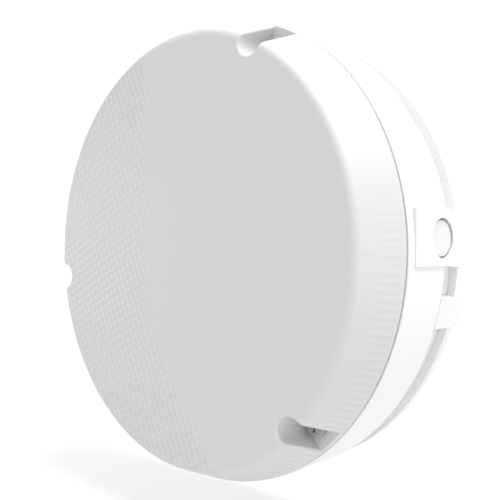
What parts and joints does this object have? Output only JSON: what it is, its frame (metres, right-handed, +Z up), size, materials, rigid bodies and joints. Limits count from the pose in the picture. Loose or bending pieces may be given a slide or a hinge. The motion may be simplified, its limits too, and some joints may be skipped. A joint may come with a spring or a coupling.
{
  "type": "wall alarm siren with strobe",
  "caption": "Round wall alarm siren: white drum body, frosted prismatic strobe lens held by screws in side notches, side lug with a recessed push button, stand-off wall plate.",
  "frame": {"origin": "centre of the rear mounting face, where the wall plate rests on the wall", "axes": "+Z up as mounted, +Y into the wall, the lens faces -Y and the side lug is on +X"},
  "size_m": [0.16, 0.0506, 0.16],
  "materials": {
    "housing_plastic": "fine-textured moulded ABS, white",
    "plate_plastic": "fine-textured moulded ABS, white",
    "lens_plastic": "frosted translucent polycarbonate with a fine prism pattern",
    "button_plastic": "satin moulded plastic, light grey",
    "seal_rubber": "matt moulded silicone, grey",
    "grommet_rubber": "matt black rubber",
    "screen_steel": "woven stainless mesh",
    "screw_steel": "zinc-plated steel",
    "lens_screw_steel": "satin stainless steel",
    "spring_steel": "drawn stainless wire and strip",
    "insert_brass": "turned brass",
    "board_laminate": "green solder mask over glass laminate",
    "led_board_laminate": "white solder mask",
    "black_plastic": "black glass-filled nylon",
    "connector_plastic": "natural nylon",
    "piezo_brass": "rolled brass sheet",
    "piezo_ceramic": "silvered ceramic disc",
    "terminal_plastic": "green polyamide",
    "ferrite": "sintered ferrite, dark grey",
    "copper_coil": "winding tape over enamelled copper",
    "capacitor_sleeve": "shrunk vinyl sleeve",
    "chip_epoxy": "moulded epoxy with tinned leads",
    "trimmer_plastic": "blue polyester",
    "dip_plastic": "red polyester",
    "slider_plastic": "white acetal",
    "carrier_plastic": "high-reflectance white ABS",
    "led_package": "phosphor-filled silicone in a white package",
    "cell_sleeve": "shrink-sleeved rechargeable cells"
  },
  "bodies": {
    "base": {"battery_cells": "cell_sleeve", "battery_strap": "spring_steel", "battery_tray": "black_plastic", "button_board": "board_laminate", "button_spring": "spring_steel", "button_switch": "black_plastic", "cable_grommet": "grommet_rubber", "capacitors": "capacitor_sleeve", "carrier_screws": "screw_steel", "controller_chip": "chip_epoxy", "housing": "housing_plastic", "insect_screen": "screen_steel", "led_board": "led_board_laminate", "led_board_screws": "screw_steel", "led_carrier": "carrier_plastic", "led_plug": "connector_plastic", "leds": "led_package", "lens_gasket": "seal_rubber", "main_board": "board_laminate", "main_board_screws": "screw_steel", "piezo_ceramic": "piezo_ceramic", "piezo_plate": "piezo_brass", "piezo_ring": "black_plastic", "piezo_seal": "seal_rubber", "plate_screws": "screw_steel", "sound_deflector": "plate_plastic", "sounder_body": "black_plastic", "sounder_guard": "black_plastic", "sounder_screws": "screw_steel", "sounder_seal": "seal_rubber", "tamper_spring": "spring_steel", "tamper_switch": "black_plastic", "terminal_block": "terminal_plastic", "terminal_screws": "screw_steel", "threaded_inserts": "insert_brass", "tone_switch_body": "dip_plastic", "transformer_coil": "copper_coil", "transformer_core": "ferrite", "volume_trimmer_body": "trimmer_plastic", "wall_plate": "plate_plastic", "wall_seal": "seal_rubber"},
    "lens": {"lens": "lens_plastic", "screw_o_rings": "seal_rubber"},
    "lens_screw_top": {"lens_screw_top": "lens_screw_steel"},
    "lens_screw_left": {"lens_screw_left": "lens_screw_steel"},
    "lens_screw_bottom": {"lens_screw_bottom": "lens_screw_steel"},
    "push_button": {"push_button": "button_plastic"},
    "tamper_plunger": {"tamper_plunger": "slider_plastic"},
    "volume_rotor": {"volume_trimmer_rotor": "slider_plastic"},
    "tone_slider_1": {"tone_slider_1": "slider_plastic"},
    "tone_slider_2": {"tone_slider_2": "slider_plastic"},
    "tone_slider_3": {"tone_slider_3": "slider_plastic"},
    "tone_slider_4": {"tone_slider_4": "slider_plastic"}
  },
  "joints": [
    {"name": "lens_lift", "type": "slide", "parent": "base", "child": "lens", "axis": [0, -1, 0], "range_m": [0, 0.06]},
    {"name": "lens_screw_top_turn", "type": "hinge", "parent": "lens", "child": "lens_screw_top", "pos_m": [0.03287, -0.037, 0.06507], "axis": [0, -1, 0], "continuous": true},
    {"name": "lens_screw_left_turn", "type": "hinge", "parent": "lens", "child": "lens_screw_left", "pos_m": [-0.07215, -0.037, -0.0104], "axis": [0, -1, 0], "continuous": true},
    {"name": "lens_screw_bottom_turn", "type": "hinge", "parent": "lens", "child": "lens_screw_bottom", "pos_m": [0.0499, -0.037, -0.05314], "axis": [0, -1, 0], "continuous": true},
    {"name": "button_press", "type": "slide", "parent": "base", "child": "push_button", "axis": [-1, 0, 0], "range_m": [0, 0.0015], "stiffness_N_per_m": 400, "springref_m": -0.002, "deforming": ["button_spring"]},
    {"name": "tamper_press", "type": "slide", "parent": "base", "child": "tamper_plunger", "axis": [0, 1, 0], "range_m": [0, 0.0015], "stiffness_N_per_m": 200, "springref_m": -0.001, "deforming": ["tamper_spring"]},
    {"name": "volume_turn", "type": "hinge", "parent": "base", "child": "volume_rotor", "pos_m": [0.046, -0.022, 0.004], "axis": [0, -1, 0], "range_deg": [-105, 105]},
    {"name": "tone_slide_1", "type": "slide", "parent": "base", "child": "tone_slider_1", "axis": [1, 0, 0], "range_m": [0, 0.0018]},
    {"name": "tone_slide_2", "type": "slide", "parent": "base", "child": "tone_slider_2", "axis": [1, 0, 0], "range_m": [0, 0.0018]},
    {"name": "tone_slide_3", "type": "slide", "parent": "base", "child": "tone_slider_3", "axis": [1, 0, 0], "range_m": [0, 0.0018]},
    {"name": "tone_slide_4", "type": "slide", "parent": "base", "child": "tone_slider_4", "axis": [1, 0, 0], "range_m": [0, 0.0018]}
  ]
}
